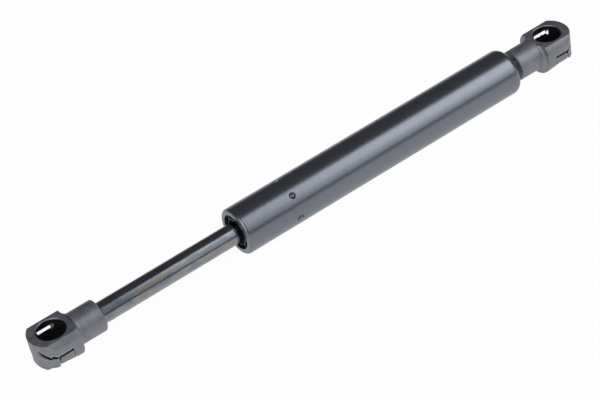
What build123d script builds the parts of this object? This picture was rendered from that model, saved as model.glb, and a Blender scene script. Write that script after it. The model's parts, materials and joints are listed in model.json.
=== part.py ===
from build123d import *
from math import radians, sqrt, tan
import os

os.makedirs("parts", exist_ok=True)

# Gas strut stay: a nitrogen-charged lift support with a composite ball socket at each end.
#
# Frame, in millimetres: the origin is the centre of the ball seat in the tube-end socket.
# X is the strut's own axis and points from the rod end to the tube end. Z is the way both
# socket mouths face. The strut is drawn fully extended, as its gas charge holds it.

# ---- strut ----
stroke = 55.0                   # travel of the rod into the tube
rod_reserve = 3.0               # rod still showing when it is fully in
running_clearance = 0.03        # radial, rod in its bush, seal and wiper
stop_gap = 0.3                  # piston stop to seal support at full extension
edge_radius = 0.3               # broken edges of turned and moulded pieces
soft_edge_radius = 0.4          # edges that meet the tube wall or the stop
fine_edge_radius = 0.15

# ---- pressure tube ----
tube_diameter = 18.0
tube_wall = 1.0
tube_length = 127.3
rim_lip_width = 2.25            # rolled edge over the rod guide
rim_thickness = 1.1
rim_roll_radius = 1.1
rim_lip_radius = 0.25
shoulder_radius = 3.0           # closed end
end_flat = 0.8                  # flat ring round the stud, inside the shoulder
end_thickness = 1.6
tube_end_gap = 2.4              # closed end to the neck of its socket

# ---- ring of punched dimples that holds the guide and seal package ----
dimple_inset = 22.1             # from the rolled rim
dimple_count = 6
dimple_first_angle = 12.4
dimple_diameter = 2.6
dimple_depth = 1.1
dimple_wall = 0.75
dimple_root = 0.5               # how far the bump reaches into the wall

# ---- end plug and stud ----
plug_length = 6.0
plug_clearance = 0.02
thread_diameter = 6.0
thread_chamfer = 0.4
thread_bottom_gap = 0.1         # stud end to the bottom of its hole
stud_head_rise = 2.0            # radial, beyond the shank
stud_head_thickness = 1.5

# ---- rod guide and seal package ----
package_clearance = 0.05        # radial, in the tube
guide_length = 9.5
guide_collar_rise = 0.6         # collar round the rod, proud of the guide's face
guide_collar_wall = 0.37
bush_wall = 0.7
bush_length = 6.6
bush_inset = 2.0
wiper_length = 1.6
wiper_wall = 0.9
wiper_lip_reach = 0.6           # lip in front of the wiper's body
wiper_lip_wall = 0.5
pocket_count = 9
pocket_inset = 0.25             # radial, inside the rolled edge
pocket_depth = 3.2
pocket_rib = 0.9
o_ring_section = 1.7
o_ring_groove_width = 2.2
o_ring_inset = 7.0              # groove centre, from the guide's face
washer_thickness = 1.0
washer_rod_clearance = 0.3
seal_length = 4.4
seal_groove_depth = 2.6
seal_groove_width = 1.2
seal_lip_length = 1.0
seal_lip_wall = 1.1
seal_lip_setback = 0.3
seal_back_clearance = 0.25
support_length = 5.1            # ends just short of the dimples
support_rod_clearance = 0.4
support_chamfer = 0.8

# ---- piston on the rod ----
rod_diameter = 8.0
rod_pin_diameter = 5.0
stop_collar_rise = 2.4          # radial, beyond the rod
stop_collar_length = 3.2
labyrinth_clearance = 0.5       # radial, in the tube
labyrinth_thickness = 1.2
labyrinth_groove_diameter = 10.4
labyrinth_groove_width = 1.0
labyrinth_groove_depth = 0.6
piston_length = 7.0
piston_clearance = 0.25
ring_width = 2.0
ring_section = 1.45
ring_tube_clearance = 0.05
ring_side_clearance = 0.2
ring_back_clearance = 0.2
ring_gap = 0.5
piston_port_count = 3
piston_port_diameter = 1.4
piston_port_circle = 9.6
back_washer_inset = 1.25        # radial, inside the piston's edge
back_washer_thickness = 1.2
rivet_head_rise = 1.3           # radial, beyond the pin
rivet_head_length = 1.6
rivet_radius = 0.5
rod_shoulder_radius = 0.2

# ---- ball socket, the same at both ends ----
ball_diameter = 10.0
seat_clearance = 0.05           # radial, ball in its seat
throat_clearance = 0.1          # radial, ball in the throat
mouth_clearance = 0.3           # radial, ball in the ring at the mouth
mouth_ring_depth = 1.3
mouth_chamfer = 0.35
mouth_height = 5.4              # ball centre to the flat face round the mouth
head_diameter = 17.0            # barrel about the strut's axis
head_flat_width = 16.1          # across the two flat sides
rim_land = 1.2                  # straight edge at the back, before the underside rises
underside_slope = 7.5           # degrees, rising towards the nose
underside_flat_rise = 0.1       # flat underneath, above the lowest line of the barrel
nose_radius = 8.7               # about the ball's own axis
nose_edge_radius = 3.0
rear_face = 6.7                 # ball centre to the back of the head
cove_radius = 1.7
neck_diameter = 12.1
neck_end = 17.8                 # ball centre to the end of the neck
neck_chamfer = 0.4
neck_overlap = 0.5              # barrel inside the neck, behind the cove
thread_end = 7.7                # ball centre to the bottom of the threaded hole
thread_clearance = 0.02

# ---- safety clip and the slots it slides in ----
slot_angle = 42.3               # slope of the slots, falling outwards
slot_seat = 0.35                # height of the slot's floor, one ball radius from the middle
tongue_thickness = 0.75
tongue_clearance = 0.1
tongue_grip = 0.25              # how far the tongue reaches over the ball
tongue_length = 4.8
tongue_middle = -0.15           # along the strut, from the middle of the socket
window_top = 3.0                # height of the window's roof, on the same line
window_front = 5.0
window_back = 2.9
pry_slot_inner = 3.5
pry_slot_headroom = 0.65        # above the tongue, towards the nose
leg_inset = 0.05                # leg inside the head's flat side
leg_thickness = 0.85
leg_top = 0.95                  # below the ball centre
leg_bottom = 3.5
leg_front = 2.75
leg_back = 2.65
leg_corner = 0.9
leg_join = 0.2                  # how far tongues and arms reach into the legs
arm_setback = 0.5
root_thickness = 1.05
root_step = 0.1
root_front = 4.9
root_overlap = 1.3              # length of root behind the leg's front end
root_drop = 0.1
bow_inset = 0.1                 # bow inside the nose
bow_thickness = 0.9
bow_top = 0.75
bow_bottom = 4.35
bow_end = 3.1                   # end of the bow, in front of the ball centre
bow_corner = 1.2                # lower corner of each end
clip_clearance = 0.1
bow_side_clearance = 0.05
slot_overlap = 0.5              # slots reach this far into the side recesses

# ---- places worked out from the sizes ----
tube_radius = tube_diameter / 2
bore_radius = tube_radius - tube_wall
rod_radius = rod_diameter / 2
package_radius = bore_radius - package_clearance
piston_radius = bore_radius - piston_clearance
rim_opening = tube_diameter - 2 * rim_lip_width
end_opening = tube_diameter - 2 * (shoulder_radius + end_flat)
wiper_radius = rod_radius + running_clearance + wiper_wall
guide_collar_radius = wiper_radius + guide_collar_wall
pocket_outer_radius = rim_opening / 2 - pocket_inset

slot_datum = ball_diameter / 2
slot_fall = tan(radians(slot_angle))
slot_cosine = 1 / sqrt(1 + slot_fall**2)
tongue_inner = ball_diameter / 2 - tongue_grip
leg_outer = head_flat_width / 2 - leg_inset
leg_inner = leg_outer - leg_thickness
root_inner = leg_inner - root_thickness
root_outer = leg_inner + root_step
bow_outer_radius = nose_radius - bow_inset
bow_inner_radius = bow_outer_radius - bow_thickness

tube_end_x = -(neck_end + tube_end_gap)
rim_x = tube_end_x - tube_length
neck_face_x = rim_x - stroke - rod_reserve
rod_ball_x = neck_face_x - neck_end

guide_x = rim_x + rim_thickness
guide_end_x = guide_x + guide_length
seal_x = guide_end_x + washer_thickness
support_x = seal_x + seal_length
support_end_x = support_x + support_length

rod_shoulder_x = support_end_x + stop_gap
labyrinth_x = rod_shoulder_x + stop_collar_length
piston_x = labyrinth_x + labyrinth_thickness
back_washer_x = piston_x + piston_length
rivet_x = back_washer_x + back_washer_thickness

reach = 4 * tube_diameter       # longer than any cut needs to be


def outline(*corners, edge=fillet):
    """A closed profile in XY. A third number on a corner rounds it, or chamfers it with edge=chamfer."""
    face = make_face(Polyline(*[corner[:2] for corner in corners], close=True))
    for corner in corners:
        if len(corner) == 3:
            vertex = face.vertices().sort_by_distance((corner[0], corner[1]))[0]
            face = edge(vertex, corner[2])
    return face


def turned(*corners, edge=fillet):
    """A solid of revolution about X, from corners given as (x, radius)."""
    return revolve(outline(*corners, edge=edge), Axis.X)


def ring(start, length, inner_radius, outer_radius):
    """A plain ring about X."""
    return turned(
        (start, inner_radius),
        (start, outer_radius),
        (start + length, outer_radius),
        (start + length, inner_radius),
    )


def block(x_range, y_range, z_range):
    """A box between three pairs of planes."""
    spans = (x_range, y_range, z_range)
    middle = [(low + high) / 2 for low, high in spans]
    size = [high - low for low, high in spans]
    return Pos(*middle) * Box(*size)


def both_sides(solid):
    """A solid with its mirror image on the other side of the socket."""
    return solid + mirror(solid, Plane.XZ)


# ---- tube side ----

def pressure_tube():
    shell = turned(
        (rim_x, rim_opening / 2, rim_lip_radius),
        (rim_x, tube_radius, rim_roll_radius),
        (tube_end_x, tube_radius, shoulder_radius),
        (tube_end_x, end_opening / 2),
        (tube_end_x - end_thickness, end_opening / 2),
        (tube_end_x - end_thickness, bore_radius, shoulder_radius - tube_wall),
        (rim_x + rim_thickness, bore_radius),
        (rim_x + rim_thickness, rim_opening / 2),
    )
    half = dimple_diameter / 2
    pit_radius = (half**2 + dimple_depth**2) / (2 * dimple_depth)
    centre = tube_radius + pit_radius - dimple_depth
    dimple_x = rim_x + dimple_inset
    core = Cylinder(bore_radius + dimple_root, dimple_diameter * 3)
    inside = Pos(dimple_x, 0, 0) * Rot(0, 90, 0) * core
    for index in range(dimple_count):
        angle = dimple_first_angle + index * 360 / dimple_count
        place = Rot(angle, 0, 0) * Pos(dimple_x, centre, 0)
        shell += (place * Sphere(pit_radius + dimple_wall)) & inside
        shell -= place * Sphere(pit_radius)
    return shell


def end_plug():
    outer = bore_radius - plug_clearance
    back = tube_end_x - end_thickness - plug_clearance
    boss = end_opening / 2 - plug_clearance
    hole = thread_diameter / 2 + thread_clearance
    return turned(
        (back - plug_length, hole),
        (back - plug_length, outer),
        (back, outer, shoulder_radius - tube_wall),
        (back, boss),
        (tube_end_x, boss),
        (tube_end_x, hole),
    )


def tube_stud():
    shank = thread_diameter / 2
    end = -thread_end - thread_bottom_gap
    head_face = tube_end_x - end_thickness - plug_clearance - plug_length
    return turned(
        (head_face - stud_head_thickness, 0),
        (head_face - stud_head_thickness, shank + stud_head_rise, soft_edge_radius),
        (head_face, shank + stud_head_rise),
        (head_face, shank),
        (end - thread_chamfer, shank),
        (end, shank - thread_chamfer),
        (end, 0),
        edge=chamfer,
    )


def guide_pockets():
    """A ring of pockets in the guide's face, parted by straight ribs."""
    pockets = ring(guide_x, pocket_depth, guide_collar_radius, pocket_outer_radius)
    for index in range(pocket_count):
        rib = block((-reach * 3, reach), (0, reach), (-pocket_rib / 2, pocket_rib / 2))
        pockets -= Rot(index * 360 / pocket_count, 0, 0) * rib
    return pockets


def rod_guide():
    bush = rod_radius + running_clearance + bush_wall
    wiper = wiper_radius
    collar = guide_collar_radius
    groove_radius = package_radius - o_ring_section
    groove_start = guide_x + o_ring_inset - o_ring_groove_width / 2
    groove_end = groove_start + o_ring_groove_width
    bush_end = guide_x + bush_inset + bush_length
    body = turned(
        (guide_x + bush_inset, bush),
        (guide_x + bush_inset, wiper),
        (guide_x - guide_collar_rise, wiper),
        (guide_x - guide_collar_rise, collar, rim_lip_radius),
        (guide_x, collar),
        (guide_x, package_radius, edge_radius),
        (groove_start, package_radius),
        (groove_start, groove_radius),
        (groove_end, groove_radius),
        (groove_end, package_radius),
        (guide_end_x, package_radius, edge_radius),
        (guide_end_x, rod_radius + washer_rod_clearance),
        (bush_end, rod_radius + washer_rod_clearance),
        (bush_end, bush),
    )
    return body - guide_pockets()


def guide_bush():
    inner = rod_radius + running_clearance
    start = guide_x + bush_inset
    return turned(
        (start, inner, fine_edge_radius),
        (start, inner + bush_wall),
        (start + bush_length, inner + bush_wall),
        (start + bush_length, inner, fine_edge_radius),
        edge=chamfer,
    )


def rod_wiper():
    inner = rod_radius + running_clearance
    outer = wiper_radius
    start = guide_x + bush_inset - wiper_length
    relief = wiper_wall / 2
    return turned(
        (start - wiper_lip_reach, inner),
        (start, outer),
        (start + wiper_length, outer),
        (start + wiper_length, inner + relief),
        (start + wiper_lip_wall, inner + relief),
        (start + wiper_lip_wall - wiper_lip_reach, inner),
    )


def guide_o_ring():
    section = o_ring_section / 2
    centre = package_radius - section
    profile = Pos(guide_x + o_ring_inset, centre) * Circle(section)
    return revolve(profile, Axis.X)


def seal_washer():
    return ring(guide_end_x, washer_thickness, rod_radius + washer_rod_clearance, package_radius)


def rod_seal():
    lip = rod_radius + running_clearance
    relief = lip + seal_back_clearance
    end = seal_x + seal_length
    lip_end = end - seal_lip_setback
    groove_floor = end - seal_groove_depth
    groove_inner = relief + seal_lip_wall
    groove_outer = groove_inner + seal_groove_width
    return turned(
        (seal_x, relief),
        (seal_x, package_radius, edge_radius),
        (end, package_radius, edge_radius),
        (end, groove_outer),
        (groove_floor, groove_outer, edge_radius),
        (groove_floor, groove_inner, edge_radius),
        (lip_end, groove_inner),
        (lip_end, lip),
        (lip_end - seal_lip_length, relief),
        edge=chamfer,
    )


def seal_support():
    inner = rod_radius + support_rod_clearance
    return turned(
        (support_x, inner),
        (support_x, package_radius),
        (support_end_x - support_chamfer, package_radius),
        (support_end_x, package_radius - support_chamfer),
        (support_end_x, inner),
    )


# ---- rod side ----

def piston_rod():
    stub = thread_diameter / 2
    pin = rod_pin_diameter / 2
    stub_end_x = rod_ball_x + thread_end + thread_bottom_gap
    return turned(
        (stub_end_x, 0),
        (stub_end_x, stub - thread_chamfer),
        (stub_end_x + thread_chamfer, stub),
        (neck_face_x, stub),
        (neck_face_x, rod_radius),
        (rod_shoulder_x, rod_radius, rod_shoulder_radius),
        (rod_shoulder_x, pin),
        (rivet_x, pin),
        (rivet_x, pin + rivet_head_rise, rivet_radius),
        (rivet_x + rivet_head_length, pin, rivet_radius),
        (rivet_x + rivet_head_length, 0),
    )


def stop_collar():
    outer = rod_radius + stop_collar_rise
    return turned(
        (rod_shoulder_x, rod_pin_diameter / 2),
        (rod_shoulder_x, outer, soft_edge_radius),
        (labyrinth_x, outer),
        (labyrinth_x, rod_pin_diameter / 2),
        edge=chamfer,
    )


def labyrinth_disc():
    disc = ring(labyrinth_x, labyrinth_thickness, rod_pin_diameter / 2, bore_radius - labyrinth_clearance)
    groove = ring(
        piston_x - labyrinth_groove_depth,
        labyrinth_groove_depth,
        labyrinth_groove_diameter / 2 - labyrinth_groove_width / 2,
        labyrinth_groove_diameter / 2 + labyrinth_groove_width / 2,
    )
    return disc - groove


def piston():
    outer = piston_radius
    ring_inner = bore_radius - ring_tube_clearance - ring_section
    groove_floor = ring_inner - ring_back_clearance
    groove_half = ring_width / 2 + ring_side_clearance
    middle = piston_x + piston_length / 2
    body = turned(
        (piston_x, rod_pin_diameter / 2),
        (piston_x, outer, soft_edge_radius),
        (middle - groove_half, outer),
        (middle - groove_half, groove_floor),
        (middle + groove_half, groove_floor),
        (middle + groove_half, outer),
        (back_washer_x, outer, soft_edge_radius),
        (back_washer_x, rod_pin_diameter / 2),
        edge=chamfer,
    )
    for index in range(piston_port_count):
        place = Rot(index * 360 / piston_port_count, 0, 0) * Pos(middle, piston_port_circle / 2, 0)
        body -= place * Rot(0, 90, 0) * Cylinder(piston_port_diameter / 2, piston_length * 2)
    return body


def piston_ring():
    outer = bore_radius - ring_tube_clearance
    middle = piston_x + piston_length / 2
    whole = ring(middle - ring_width / 2, ring_width, outer - ring_section, outer)
    split = block((-reach * 3, reach), (0, reach), (-ring_gap / 2, ring_gap / 2))
    return whole - split


def back_washer():
    return ring(
        back_washer_x, back_washer_thickness, rod_pin_diameter / 2, piston_radius - back_washer_inset
    )


# ---- ball socket and its clip: the nose points to -X here, the neck to +X ----

def slot_section(height_low, height_high, inner, outer):
    """A band of the sloping slot, seen along the strut, between two distances from the middle."""

    def height(base, distance):
        return base - slot_fall * (distance - slot_datum)

    points = [
        (inner, height(height_low, inner)),
        (outer, height(height_low, outer)),
        (outer, height(height_high, outer)),
        (inner, height(height_high, inner)),
    ]
    return Plane.YZ * make_face(Polyline(*points, close=True))


def sloping_band(x_from, x_to, height_low, height_high, inner, outer):
    section = slot_section(height_low, height_high, inner, outer)
    return Pos(x_from, 0, 0) * extrude(section, x_to - x_from)


def head_blank():
    """The barrel of the head with its coved back, rising underside, rounded nose and flats."""
    barrel_radius = head_diameter / 2
    cove_end = rear_face + cove_radius
    barrel = turned(
        (-nose_radius, 0),
        (-nose_radius, barrel_radius),
        (rear_face, barrel_radius, edge_radius),
        (rear_face, neck_diameter / 2, cove_radius),
        (cove_end + neck_overlap, neck_diameter / 2),
        (cove_end + neck_overlap, 0),
    )
    lean = Pos(rear_face - rim_land, 0, 0) * Rot(0, underside_slope, 0)
    keel = lean * Rot(0, 90, 0) * Cylinder(barrel_radius, reach)
    plan = Circle(nose_radius) + Pos(neck_end, 0) * Rectangle(2 * neck_end, 2 * nose_radius)
    column = Pos(0, 0, -head_diameter) * extrude(plan, head_diameter + mouth_height)
    flat = -barrel_radius + underside_flat_rise
    column -= lean * block((-reach, reach), (-reach, reach), (-reach, flat))
    nose_edge = column.faces().sort_by(Axis.Z)[0].edges().filter_by(GeomType.ELLIPSE)
    column = fillet(nose_edge, nose_edge_radius)
    flats = block((-reach, reach), (-head_flat_width / 2, head_flat_width / 2), (-reach, reach))
    return barrel & keel & column & flats


def neck_blank():
    neck = neck_diameter / 2
    start = rear_face + cove_radius / 2
    return turned(
        (start, 0),
        (start, neck),
        (neck_end - neck_chamfer, neck),
        (neck_end, neck - neck_chamfer),
        (neck_end, 0),
    )


def ball_cavity():
    ball = ball_diameter / 2
    ring_radius = ball + mouth_clearance
    seat = Sphere(ball + seat_clearance)
    throat = Pos(0, 0, mouth_height / 2) * Cylinder(ball + throat_clearance, mouth_height)
    ring_depth = mouth_ring_depth + mouth_chamfer
    mouth_ring = Pos(0, 0, mouth_height - ring_depth / 2) * Cylinder(ring_radius, ring_depth)
    flare = Cone(ring_radius, ring_radius + mouth_chamfer, mouth_chamfer)
    return seat + throat + mouth_ring + Pos(0, 0, mouth_height - mouth_chamfer / 2) * flare


def clip_slots():
    """Everything the clip slides through, open towards the nose."""
    tongue_rise = tongue_thickness / slot_cosine + tongue_clearance + pry_slot_headroom
    channel = sloping_band(
        -reach, window_back, slot_seat, slot_seat + tongue_rise, pry_slot_inner, leg_inner + slot_overlap
    )
    window = sloping_band(
        -window_front, window_back, slot_seat, window_top, pry_slot_inner, tube_diameter
    )
    side = block(
        (-reach, window_back),
        (leg_inner - clip_clearance, reach),
        (-leg_bottom - clip_clearance, -leg_top + clip_clearance),
    )
    root = block(
        (-reach, -leg_front + root_overlap + clip_clearance),
        (root_inner - clip_clearance, leg_inner),
        (-leg_bottom - clip_clearance, -leg_top + clip_clearance),
    )
    bow_height = bow_bottom - bow_top + 2 * clip_clearance
    bow_middle = -(bow_bottom + bow_top) / 2
    groove = Pos(0, 0, bow_middle) * (
        Cylinder(reach, bow_height) - Cylinder(bow_inner_radius - clip_clearance, bow_height)
    )
    groove &= block((-reach, -bow_end + clip_clearance), (-reach, reach), (-reach, reach))
    return both_sides(channel + window + side + root) + groove


def ball_socket():
    body = head_blank() + neck_blank()
    body -= ball_cavity()
    body -= clip_slots()
    threaded_hole = ring(thread_end, neck_end, 0, thread_diameter / 2 + thread_clearance)
    return body - threaded_hole


def safety_clip():
    """A U of one piece: a bow round the nose, and on each side a root, a leg and a tongue."""
    rise = tongue_thickness / slot_cosine
    low = slot_seat + tongue_clearance
    tongue_start = tongue_middle - tongue_length / 2
    tongue = sloping_band(
        tongue_start, tongue_start + tongue_length, low, low + rise, tongue_inner, leg_inner + leg_join
    )
    arm = sloping_band(
        -root_front, leg_back - arm_setback, low, low + rise, root_inner, leg_inner + leg_join
    )
    leg = block((-leg_front, leg_back), (leg_inner, leg_outer), (-leg_bottom, -leg_top))
    front_edges = leg.edges().filter_by(Axis.Y).group_by(Axis.X)[0]
    leg = fillet(front_edges, leg_corner)
    root = block(
        (-root_front, -leg_front + root_overlap),
        (root_inner, root_outer),
        (-leg_bottom, -leg_top - root_drop),
    )
    bow_height = bow_bottom - bow_top
    bow = Pos(0, 0, -(bow_bottom + bow_top) / 2) * (
        Cylinder(bow_outer_radius, bow_height) - Cylinder(bow_inner_radius, bow_height)
    )
    bow &= block((-reach, -bow_end), (-reach, reach), (-reach, reach))
    side_limit = head_flat_width / 2 - bow_side_clearance
    bow &= block((-reach, reach), (-side_limit, side_limit), (-reach, reach))
    bow = fillet(bow.edges().filter_by(Axis.Y).group_by(Axis.Z)[0], bow_corner)
    inside_nose = Cylinder(bow_outer_radius, reach)
    arms = both_sides(arm + root) & inside_nose
    whole = both_sides(tongue + leg) + arms + bow
    return whole - Sphere(ball_diameter / 2 + seat_clearance)


def at_rod_end(solid):
    return Pos(rod_ball_x, 0, 0) * solid


def at_tube_end(solid):
    return Rot(0, 0, 180) * solid


socket = ball_socket()
clip = safety_clip()

nodes = {
    "pressure_tube": pressure_tube(),
    "end_plug": end_plug(),
    "tube_stud": tube_stud(),
    "tube_socket": at_tube_end(socket),
    "tube_clip": at_tube_end(clip),
    "rod_guide": rod_guide(),
    "guide_bush": guide_bush(),
    "rod_wiper": rod_wiper(),
    "guide_o_ring": guide_o_ring(),
    "seal_washer": seal_washer(),
    "rod_seal": rod_seal(),
    "seal_support": seal_support(),
    "piston_rod": piston_rod(),
    "stop_collar": stop_collar(),
    "labyrinth_disc": labyrinth_disc(),
    "piston": piston(),
    "piston_ring": piston_ring(),
    "back_washer": back_washer(),
    "rod_socket": at_rod_end(socket),
    "rod_clip": at_rod_end(clip),
}

for name, solid in nodes.items():
    export_step(solid, f"parts/{name}.step")
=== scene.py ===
"""Gas strut stay on a plain pale floor: finishes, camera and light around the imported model."""
import json
import bpy
from mathutils import Matrix, Vector


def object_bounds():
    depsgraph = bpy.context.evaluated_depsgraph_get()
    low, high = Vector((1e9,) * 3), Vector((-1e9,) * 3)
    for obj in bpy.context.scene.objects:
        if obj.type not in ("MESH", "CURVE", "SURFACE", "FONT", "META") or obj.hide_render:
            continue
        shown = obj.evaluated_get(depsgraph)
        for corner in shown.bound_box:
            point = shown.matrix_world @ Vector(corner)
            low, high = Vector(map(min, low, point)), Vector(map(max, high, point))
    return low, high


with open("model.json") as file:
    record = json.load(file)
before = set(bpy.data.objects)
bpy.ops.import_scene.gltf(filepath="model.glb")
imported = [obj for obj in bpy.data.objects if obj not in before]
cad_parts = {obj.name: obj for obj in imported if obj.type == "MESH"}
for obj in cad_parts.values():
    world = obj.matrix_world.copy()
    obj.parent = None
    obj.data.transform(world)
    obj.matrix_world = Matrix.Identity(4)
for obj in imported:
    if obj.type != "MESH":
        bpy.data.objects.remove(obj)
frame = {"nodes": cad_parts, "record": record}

MM = 0.001
cad_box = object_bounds()
nodes = frame["nodes"]

# ---- camera ----
CAMERA_PLACE = Vector((-394.0, -488.2, 442.1)) * MM
CAMERA_RIGHT = Vector((0.7914, -0.5902, -0.1592))
CAMERA_UP = Vector((0.4756, 0.4309, 0.7669))
CAMERA_LENS = 120.0             # mm, as is the sensor's width
CAMERA_SENSOR = 36.0
CAMERA_CLIP = (0.01, 20.0)

# ---- colours, linear ----
TUBE_BLACK = (0.016, 0.017, 0.020)
ROD_GREY = (0.255, 0.268, 0.285)
ROD_BROWN = (0.247, 0.213, 0.179)
ROD_BLUE = (0.128, 0.157, 0.208)
SOCKET_GREY = (0.068, 0.072, 0.084)
CLIP_GREY = (0.078, 0.080, 0.086)
GUIDE_BLACK = (0.006, 0.006, 0.007)
RUBBER_BLACK = (0.010, 0.010, 0.011)
ZINC = (0.42, 0.42, 0.43)
BRONZE = (0.45, 0.30, 0.14)
ALLOY = (0.52, 0.52, 0.54)
RING_BROWN = (0.10, 0.08, 0.06)
FLOOR_WHITE = (0.80, 0.80, 0.80)
SKY_GREY = (0.10, 0.10, 0.11)
COOL_SHEEN = (0.79, 0.86, 1.0)
SOCKET_SHEEN = (0.90, 0.93, 1.0)
PLAIN_SHEEN = (1.0, 1.0, 1.0)

# ---- unevenness of every finish ----
CLOUD_SCALE = 0.3               # the cloud of colour, beside the fine grain
CLOUD_DETAIL = 3.0
CLOUD_ROUGHNESS = 0.55
CLOUD_STOPS = (0.36, 0.66)
FINE_DETAIL = 2.0
FINE_ROUGHNESS = 0.5

# ---- stains of the rod ----
STAIN_SCALE = 520
STAIN_DETAIL = 2.0
STAIN_ROUGHNESS = 0.5
STAIN_STOPS = (0.41, 0.5, 0.59)  # blue, plain and brown
STAIN_SHARE = 0.6

# ---- painted shade inside the ball sockets, in slots and in hollows ----
MOUTH_RADIUS = 5.30 * MM
MOUTH_EDGE = 0.25 * MM
CAVITY_FLOOR = -5.3 * MM        # under the ball centre; the skin below it gets no painted shade
CAVITY_FLOOR_EDGE = 0.2 * MM
SLOT_REACH = 2.2 * MM
SLOT_OPENNESS = (0.34, 0.70)    # ambient occlusion in a slot and on open skin
NOSE_SKIN = 8.42 * MM           # what lies nearer to the ball's axis than this is inside a slot
NOSE_START = 3.4 * MM
SLOT_BAND = (-3.0 * MM, 1.2 * MM)
SKIN_EDGE = 0.1 * MM
PAINTED_SHADE_COLOUR = 0.10              # share of colour and of sheen that is left where shade is painted
PAINTED_SHADE_SHEEN = 0.12
BALL_CENTRES = [
    tuple(mount["pos_m"])
    for mount in frame["record"]["mounts"]
    if mount["name"].endswith("_ball_socket")
]

# ---- painted highlight along the outer edges ----
EDGE_HIGHLIGHT_REACH = 0.45 * MM
EDGE_HIGHLIGHT_OPENNESS = (0.35, 0.85)
EDGE_HIGHLIGHT_GAIN = 3.0
OCCLUSION_SAMPLES = 8

# ---- floor and light ----
FLOOR_DROP = 0.15 * MM          # floor under the lowest point of the strut
FLOOR_SIZE = 6.0
FLOOR_ROUGHNESS = 0.9
FLOOR_GLOW = 0.97               # share of the floor's look that is plain white
SOFT_BOX_PLACE = Vector((1.52, -1.28, 1.36))
SOFT_BOX_AIM = Vector((0.0, -0.685, 0.73))
SOFT_BOX_SIZE = (2.0, 2.55)
SOFT_BOX_POWER = 43.0
SOFT_BOX_LOW = 0.30             # how bright its lower edge is, beside its upper half
SOFT_BOX_FADE = 0.55            # share of its height over which it fades
FILL_PLACE = Vector((-1.47, -0.92, 1.45))
FILL_AIM = Vector((-0.62, -0.42, 0.66))
FILL_SIZE = (1.9, 2.4)
FILL_POWER = 34.0


def mix_colour(tree, low, high, factor, stops):
    """A ramp between two colours, driven by a noise factor."""
    ramp = tree.nodes.new("ShaderNodeValToRGB")
    ramp.color_ramp.elements[0].position = stops[0]
    ramp.color_ramp.elements[1].position = stops[1]
    ramp.color_ramp.elements[0].color = (*low, 1.0)
    ramp.color_ramp.elements[1].color = (*high, 1.0)
    tree.links.new(factor, ramp.inputs["Fac"])
    return ramp.outputs["Color"]


def noise(tree, vector, scale, detail, rough):
    """Cloudy values between 0 and 1."""
    texture = tree.nodes.new("ShaderNodeTexNoise")
    texture.inputs["Scale"].default_value = scale
    texture.inputs["Detail"].default_value = detail
    texture.inputs["Roughness"].default_value = rough
    tree.links.new(vector, texture.inputs["Vector"])
    return texture.outputs["Fac"]


def shade(colour, factor):
    """The same colour, lighter or darker."""
    return tuple(min(1.0, channel * factor) for channel in colour)


def tarnish(tree, vector, tint):
    """Brown and blue stains drawn out along the rod."""
    blotch = noise(tree, vector, STAIN_SCALE, STAIN_DETAIL, STAIN_ROUGHNESS)
    stain = tree.nodes.new("ShaderNodeValToRGB")
    stain.color_ramp.elements[0].position = STAIN_STOPS[0]
    stain.color_ramp.elements[0].color = (*ROD_BLUE, 1.0)
    stain.color_ramp.elements[1].position = STAIN_STOPS[2]
    stain.color_ramp.elements[1].color = (*ROD_BROWN, 1.0)
    middle = stain.color_ramp.elements.new(STAIN_STOPS[1])
    middle.color = (*ROD_GREY, 1.0)
    tree.links.new(blotch, stain.inputs["Fac"])
    blend = tree.nodes.new("ShaderNodeMix")
    blend.data_type = "RGBA"
    blend.inputs["Factor"].default_value = STAIN_SHARE
    tree.links.new(tint, blend.inputs["A"])
    tree.links.new(stain.outputs["Color"], blend.inputs["B"])
    return blend.outputs["Result"]


def join(tree, operation, first, second):
    """One value from two, by a Math node."""
    node = tree.nodes.new("ShaderNodeMath")
    node.operation = operation
    tree.links.new(first, node.inputs[0])
    tree.links.new(second, node.inputs[1])
    return node.outputs["Value"]


def step(tree, value, zero, one):
    """0 at one value, rising or falling to 1 at the other."""
    ramp = tree.nodes.new("ShaderNodeMapRange")
    ramp.inputs["From Min"].default_value = zero
    ramp.inputs["From Max"].default_value = one
    tree.links.new(value, ramp.inputs["Value"])
    return ramp.outputs["Result"]


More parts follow.
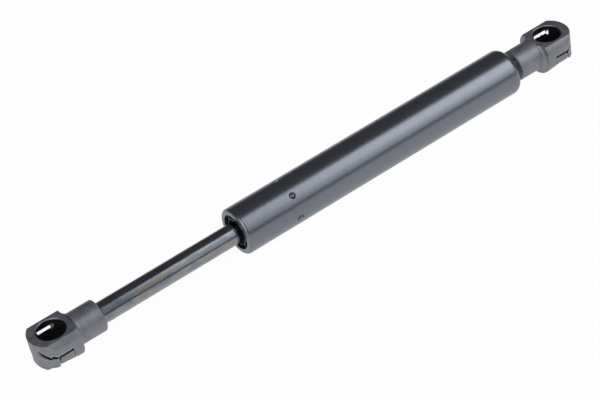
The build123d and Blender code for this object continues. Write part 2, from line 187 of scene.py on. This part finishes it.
def painted_shade_mask(tree, place):
    """Where shade is painted: 1 on open skin, falling to 0 in a ball cavity and in narrow slots.
    """
    flat = tree.nodes.new("ShaderNodeVectorMath")
    flat.operation = "MULTIPLY"
    flat.inputs[1].default_value = (1.0, 1.0, 0.0)
    tree.links.new(place.outputs["Object"], flat.inputs[0])
    nearest = None
    for centre in BALL_CENTRES:
        gap = tree.nodes.new("ShaderNodeVectorMath")
        gap.operation = "DISTANCE"
        gap.inputs[1].default_value = centre
        tree.links.new(flat.outputs["Vector"], gap.inputs[0])
        if nearest is None:
            nearest = gap.outputs["Value"]
            continue
        nearest = join(tree, "MINIMUM", nearest, gap.outputs["Value"])
    bore = step(tree, nearest, MOUTH_RADIUS, MOUTH_RADIUS + MOUTH_EDGE)
    hollow = tree.nodes.new("ShaderNodeAmbientOcclusion")
    hollow.samples = OCCLUSION_SAMPLES
    hollow.inputs["Distance"].default_value = SLOT_REACH
    slot = step(tree, hollow.outputs["AO"], *SLOT_OPENNESS)
    split = tree.nodes.new("ShaderNodeSeparateXYZ")
    tree.links.new(place.outputs["Object"], split.inputs["Vector"])
    first, last = (centre[0] for centre in BALL_CENTRES)
    from_middle = tree.nodes.new("ShaderNodeMath")
    from_middle.operation = "ADD"
    from_middle.inputs[1].default_value = -(first + last) / 2
    tree.links.new(split.outputs["X"], from_middle.inputs[0])
    reach = tree.nodes.new("ShaderNodeMath")
    reach.operation = "ABSOLUTE"
    tree.links.new(from_middle.outputs["Value"], reach.inputs[0])
    nose = abs(first - last) / 2 + NOSE_START
    skins = [
        step(tree, reach.outputs["Value"], nose, nose - SKIN_EDGE),
        step(tree, nearest, NOSE_SKIN, NOSE_SKIN + SKIN_EDGE),
        step(tree, split.outputs["Z"], SLOT_BAND[1], SLOT_BAND[1] + SKIN_EDGE),
        step(tree, split.outputs["Z"], SLOT_BAND[0], SLOT_BAND[0] - SKIN_EDGE),
    ]
    open_skin = skins[0]
    for skin in skins[1:]:
        open_skin = join(tree, "MAXIMUM", open_skin, skin)
    under = step(tree, split.outputs["Z"], CAVITY_FLOOR, CAVITY_FLOOR - CAVITY_FLOOR_EDGE)
    cavity = join(tree, "MAXIMUM", bore, under)
    bored = join(tree, "MULTIPLY", cavity, slot)
    return join(tree, "MULTIPLY", bored, open_skin)


def painted_edge_highlight(tree, tint):
    """Painted highlight: the colour made lighter along the outer edges."""
    edge = tree.nodes.new("ShaderNodeAmbientOcclusion")
    edge.samples = OCCLUSION_SAMPLES
    edge.inside = True
    edge.only_local = True
    edge.inputs["Distance"].default_value = EDGE_HIGHLIGHT_REACH
    gain = tree.nodes.new("ShaderNodeMapRange")
    gain.inputs["From Min"].default_value = EDGE_HIGHLIGHT_OPENNESS[0]
    gain.inputs["From Max"].default_value = EDGE_HIGHLIGHT_OPENNESS[1]
    gain.inputs["To Min"].default_value = EDGE_HIGHLIGHT_GAIN
    tree.links.new(edge.outputs["AO"], gain.inputs["Value"])
    scale = tree.nodes.new("ShaderNodeVectorMath")
    scale.operation = "SCALE"
    tree.links.new(tint, scale.inputs[0])
    tree.links.new(gain.outputs["Result"], scale.inputs["Scale"])
    return scale.outputs["Vector"]


def darken(tree, mask, colour_out, low, socket):
    """Leads a colour to a socket, scaled down to low where the mask is 0."""
    share = tree.nodes.new("ShaderNodeMapRange")
    share.inputs["To Min"].default_value = low
    tree.links.new(mask, share.inputs["Value"])
    scale = tree.nodes.new("ShaderNodeVectorMath")
    scale.operation = "SCALE"
    tree.links.new(share.outputs["Result"], scale.inputs["Scale"])
    if isinstance(colour_out, tuple):
        scale.inputs[0].default_value = colour_out
    else:
        tree.links.new(colour_out, scale.inputs[0])
    tree.links.new(scale.outputs["Vector"], socket)


def surface(
    name, colour, metallic, rough, spread, grain, bump,
    stretch=(1, 1, 1), ior=1.5, sheen=PLAIN_SHEEN, stained=False, with_painted_shade=False,
):
    """A finish with uneven colour and roughness, and a fine relief. On request also painted shade
    in hollows and slots, and a painted highlight along outer edges.
    """
    material = bpy.data.materials.new(name)
    material.use_nodes = True
    tree = material.node_tree
    bsdf = tree.nodes["Principled BSDF"]
    place = tree.nodes.new("ShaderNodeTexCoord")
    mapping = tree.nodes.new("ShaderNodeMapping")
    mapping.inputs["Scale"].default_value = stretch
    tree.links.new(place.outputs["Object"], mapping.inputs["Vector"])
    vector = mapping.outputs["Vector"]
    cloud = noise(tree, vector, grain * CLOUD_SCALE, CLOUD_DETAIL, CLOUD_ROUGHNESS)
    fine = noise(tree, vector, grain, FINE_DETAIL, FINE_ROUGHNESS)
    low, high = shade(colour, 1 - spread), shade(colour, 1 + spread)
    tint = mix_colour(tree, low, high, cloud, CLOUD_STOPS)
    if stained:
        tint = tarnish(tree, vector, tint)
    tree.links.new(tint, bsdf.inputs["Base Color"])
    bsdf.inputs["Metallic"].default_value = metallic
    bsdf.inputs["IOR"].default_value = ior
    bsdf.inputs["Specular Tint"].default_value = (*sheen, 1.0)
    if with_painted_shade:
        # Painted shade in ball cavities, slots and hollows: the mask, then colour and sheen scaled
        # down.
        mask = painted_shade_mask(tree, place)
        # Painted highlight along the outer edges.
        tint = painted_edge_highlight(tree, tint)
        darken(tree, mask, tint, PAINTED_SHADE_COLOUR, bsdf.inputs["Base Color"])
        darken(tree, mask, sheen, PAINTED_SHADE_SHEEN, bsdf.inputs["Specular Tint"])
    span = tree.nodes.new("ShaderNodeMapRange")
    span.inputs["To Min"].default_value = rough[0]
    span.inputs["To Max"].default_value = rough[1]
    tree.links.new(fine, span.inputs["Value"])
    tree.links.new(span.outputs["Result"], bsdf.inputs["Roughness"])
    if not bump:
        return material
    relief = tree.nodes.new("ShaderNodeBump")
    relief.inputs["Strength"].default_value = 1.0
    relief.inputs["Distance"].default_value = bump
    tree.links.new(fine, relief.inputs["Height"])
    tree.links.new(relief.outputs["Normal"], bsdf.inputs["Normal"])
    return material


def finishes():
    """One material for each slot in the record.

    The numbers are metal, roughness from and to, spread of colour, grain and relief.
    """
    composite = (0.0, (0.38, 0.54), 0.30, 1100, 0.016 * MM)
    # Sockets, clips and the tube's paint get painted shade in hollows and a painted highlight
    # along edges.
    composite_look = dict(ior=2.5, sheen=SOCKET_SHEEN, with_painted_shade=True)
    made = {
        "black_paint": surface(
            "black_paint", TUBE_BLACK, 0.0, (0.25, 0.32), 0.10, 900, 0.004 * MM,
            ior=2.6, sheen=COOL_SHEEN, with_painted_shade=True,
        ),
        "treated_rod": surface(
            "treated_rod", ROD_GREY, 1.0, (0.17, 0.27), 0.16, 900, 0.0,
            stretch=(0.22, 1, 1), stained=True,
        ),
        "socket_composite": surface("socket_composite", SOCKET_GREY, *composite, **composite_look),
        "clip_composite": surface("clip_composite", CLIP_GREY, *composite, **composite_look),
    }
    plain = {
        "guide_plastic": (GUIDE_BLACK, 0.0, (0.38, 0.5), 0.15, 1500, 0.010 * MM),
        "seal_rubber": (RUBBER_BLACK, 0.0, (0.5, 0.64), 0.15, 1500, 0.012 * MM),
        "zinc_steel": (ZINC, 1.0, (0.28, 0.4), 0.08, 1300, 0.004 * MM),
        "bearing_bronze": (BRONZE, 1.0, (0.28, 0.4), 0.08, 1300, 0.004 * MM),
        "piston_alloy": (ALLOY, 1.0, (0.3, 0.45), 0.08, 1300, 0.006 * MM),
        "ring_plastic": (RING_BROWN, 0.0, (0.4, 0.5), 0.10, 1300, 0.006 * MM),
    }
    made.update((name, surface(name, *look)) for name, look in plain.items())
    return made


def dress():
    """Gives every CAD node the finish of its own slot."""
    made = finishes()
    for part in frame["record"]["subparts"]:
        obj = nodes[part["node"]]
        obj.data.materials.clear()
        obj.data.materials.append(made[part["material_slot"]])


def camera():
    """The photograph's own place, turn and lens."""
    data = bpy.data.cameras.new("camera")
    data.sensor_width = CAMERA_SENSOR
    data.lens = CAMERA_LENS
    data.clip_start, data.clip_end = CAMERA_CLIP
    obj = bpy.data.objects.new("camera", data)
    right = CAMERA_RIGHT.normalized()
    back = right.cross(CAMERA_UP).normalized()
    up = back.cross(right)
    turn = Matrix((right, up, back)).transposed()
    obj.matrix_world = Matrix.Translation(CAMERA_PLACE) @ turn.to_4x4()
    bpy.context.scene.collection.objects.link(obj)
    bpy.context.scene.camera = obj


def grade(data, low):
    """Dims a soft box towards its lower edge, as a feathered one does."""
    data.use_nodes = True
    tree = data.node_tree
    place = tree.nodes.new("ShaderNodeNewGeometry")
    split = tree.nodes.new("ShaderNodeSeparateXYZ")
    tree.links.new(place.outputs["Parametric"], split.inputs["Vector"])
    ramp = tree.nodes.new("ShaderNodeMapRange")
    ramp.inputs["From Max"].default_value = SOFT_BOX_FADE
    ramp.inputs["To Min"].default_value = low
    tree.links.new(split.outputs["Y"], ramp.inputs["Value"])
    tree.links.new(ramp.outputs["Result"], tree.nodes["Emission"].inputs["Strength"])


def area_light(name, place, facing, size, power, low=1.0):
    """A rectangular soft box at a place, with its back turned the way facing points."""
    data = bpy.data.lights.new(name, "AREA")
    data.shape = "RECTANGLE"
    data.size, data.size_y = size
    data.energy = power
    if low < 1.0:
        grade(data, low)
    obj = bpy.data.objects.new(name, data)
    obj.location = place
    obj.rotation_euler = facing.to_track_quat("Z", "Y").to_euler()
    bpy.context.scene.collection.objects.link(obj)


def pale_stage(name, colour):
    """Matt and pale where it is lit, mostly plain white where a camera or reflection sees it."""
    material = bpy.data.materials.new(name)
    material.use_nodes = True
    tree = material.node_tree
    bsdf = tree.nodes["Principled BSDF"]
    bsdf.inputs["Base Color"].default_value = (*colour, 1.0)
    bsdf.inputs["Roughness"].default_value = FLOOR_ROUGHNESS
    bsdf.inputs["Specular IOR Level"].default_value = 0.0
    glow = tree.nodes.new("ShaderNodeEmission")
    glow.inputs["Strength"].default_value = 1.0
    ray = tree.nodes.new("ShaderNodeLightPath")
    seen = ray.outputs["Is Camera Ray"]
    for output in ("Is Glossy Ray", "Is Transmission Ray"):
        seen = join(tree, "MAXIMUM", seen, ray.outputs[output])
    share = tree.nodes.new("ShaderNodeMath")
    share.operation = "MULTIPLY"
    share.inputs[1].default_value = FLOOR_GLOW
    tree.links.new(seen, share.inputs[0])
    blend = tree.nodes.new("ShaderNodeMixShader")
    tree.links.new(share.outputs["Value"], blend.inputs["Fac"])
    tree.links.new(bsdf.outputs["BSDF"], blend.inputs[1])
    tree.links.new(glow.outputs["Emission"], blend.inputs[2])
    tree.links.new(blend.outputs["Shader"], tree.nodes["Material Output"].inputs["Surface"])
    return material


def floor():
    """A square sheet just under the strut."""
    low, high = cad_box
    middle = (low + high) / 2
    mesh = bpy.data.meshes.new("floor")
    half = FLOOR_SIZE / 2
    level = low.z - FLOOR_DROP
    corners = [
        (middle.x + sx * half, middle.y + sy * half, level)
        for sx, sy in ((-1, -1), (1, -1), (1, 1), (-1, 1))
    ]
    mesh.from_pydata(corners, [], [(0, 1, 2, 3)])
    obj = bpy.data.objects.new("floor", mesh)
    bpy.context.scene.collection.objects.link(obj)
    mesh.materials.append(pale_stage("floor", FLOOR_WHITE))


def studio():
    """A dim grey room, with one large soft box over the strut and a little in front of it."""
    world = bpy.data.worlds.new("studio")
    bpy.context.scene.world = world
    world.use_nodes = True
    world.node_tree.nodes["Background"].inputs["Color"].default_value = (*SKY_GREY, 1.0)
    world.node_tree.nodes["Background"].inputs["Strength"].default_value = 1.0
    area_light(
        "soft_box", SOFT_BOX_PLACE, SOFT_BOX_AIM, SOFT_BOX_SIZE, SOFT_BOX_POWER, SOFT_BOX_LOW
    )
    area_light("fill", FILL_PLACE, FILL_AIM, FILL_SIZE, FILL_POWER)


bpy.context.scene.view_settings.view_transform = "Standard"
dress()
camera()
floor()
studio()
